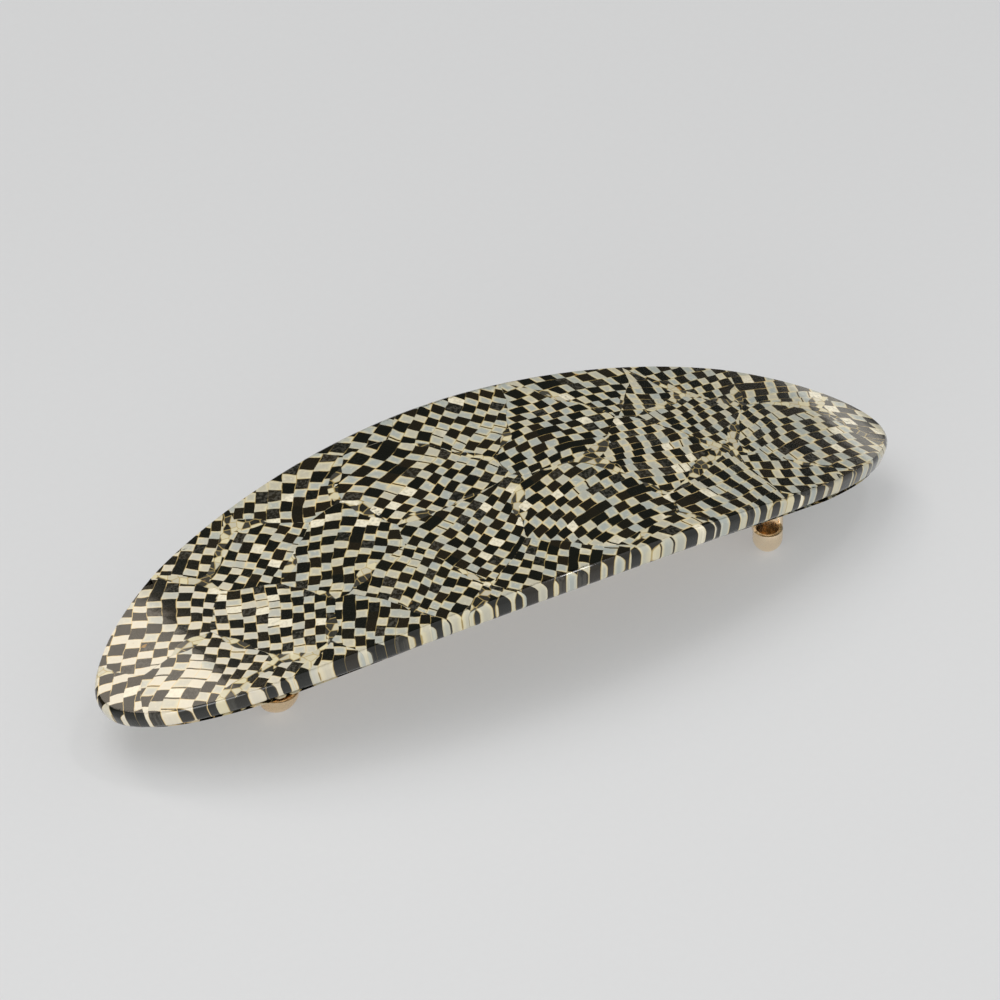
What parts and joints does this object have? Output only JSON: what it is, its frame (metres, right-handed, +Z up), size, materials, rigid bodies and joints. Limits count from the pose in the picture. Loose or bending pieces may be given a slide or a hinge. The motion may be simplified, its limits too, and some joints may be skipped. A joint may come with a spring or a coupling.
{
  "type": "hair barrette",
  "caption": "Oval domed hair barrette: a polished acetate mosaic plate riveted to an arched metal spring clip with a hinged closing bar and pinch latch.",
  "frame": {"origin": "centre of the footprint, on the surface that the clip's feet stand on", "axes": "+X along the plate towards the latch, +Y across the plate, +Z up out of the plate's crown"},
  "size_m": [0.1084, 0.0382, 0.019],
  "materials": {
    "acetate": "polished cellulose acetate, black and pearl mosaic with thin gold seams",
    "gold_plate": "bright pale gold plating over pressed spring steel"
  },
  "bodies": {
    "clip_body": {"acetate_plate": "acetate", "base_bar": "gold_plate", "hinge_pin": "gold_plate", "latch_frame": "gold_plate", "latch_rivet": "gold_plate", "mounting_rivet_hinge_end": "gold_plate", "mounting_rivet_latch_end": "gold_plate"},
    "closing_bar": {"closing_bar": "gold_plate"},
    "tension_bow": {"tension_bow": "gold_plate"},
    "wing_front": {"latch_wing_front": "gold_plate"},
    "wing_back": {"latch_wing_back": "gold_plate"}
  },
  "joints": [
    {"name": "closing_bar_swing", "type": "hinge", "parent": "clip_body", "child": "closing_bar", "pos_m": [-0.032, 0, 0.004], "axis": [0, 1, 0], "range_deg": [0, 80]},
    {"name": "bow_press", "type": "hinge", "parent": "clip_body", "child": "tension_bow", "pos_m": [-0.0291, 0, 0.0118], "axis": [0, -1, 0], "range_deg": [0, 2], "stiffness_Nm_per_rad": 0.5},
    {"name": "wing_front_pinch", "type": "hinge", "parent": "clip_body", "child": "wing_front", "pos_m": [0.0365, -0.0055, 0.004], "axis": [0, 0, -1], "range_deg": [0, 5], "stiffness_Nm_per_rad": 0.02},
    {"name": "wing_back_pinch", "type": "hinge", "parent": "clip_body", "child": "wing_back", "pos_m": [0.0365, 0.0055, 0.004], "axis": [0, 0, 1], "range_deg": [0, 5], "stiffness_Nm_per_rad": 0.02}
  ],
  "couplings": [
    {"joint": "wing_back_pinch", "follows": "wing_front_pinch", "ratio": 1}
  ]
}
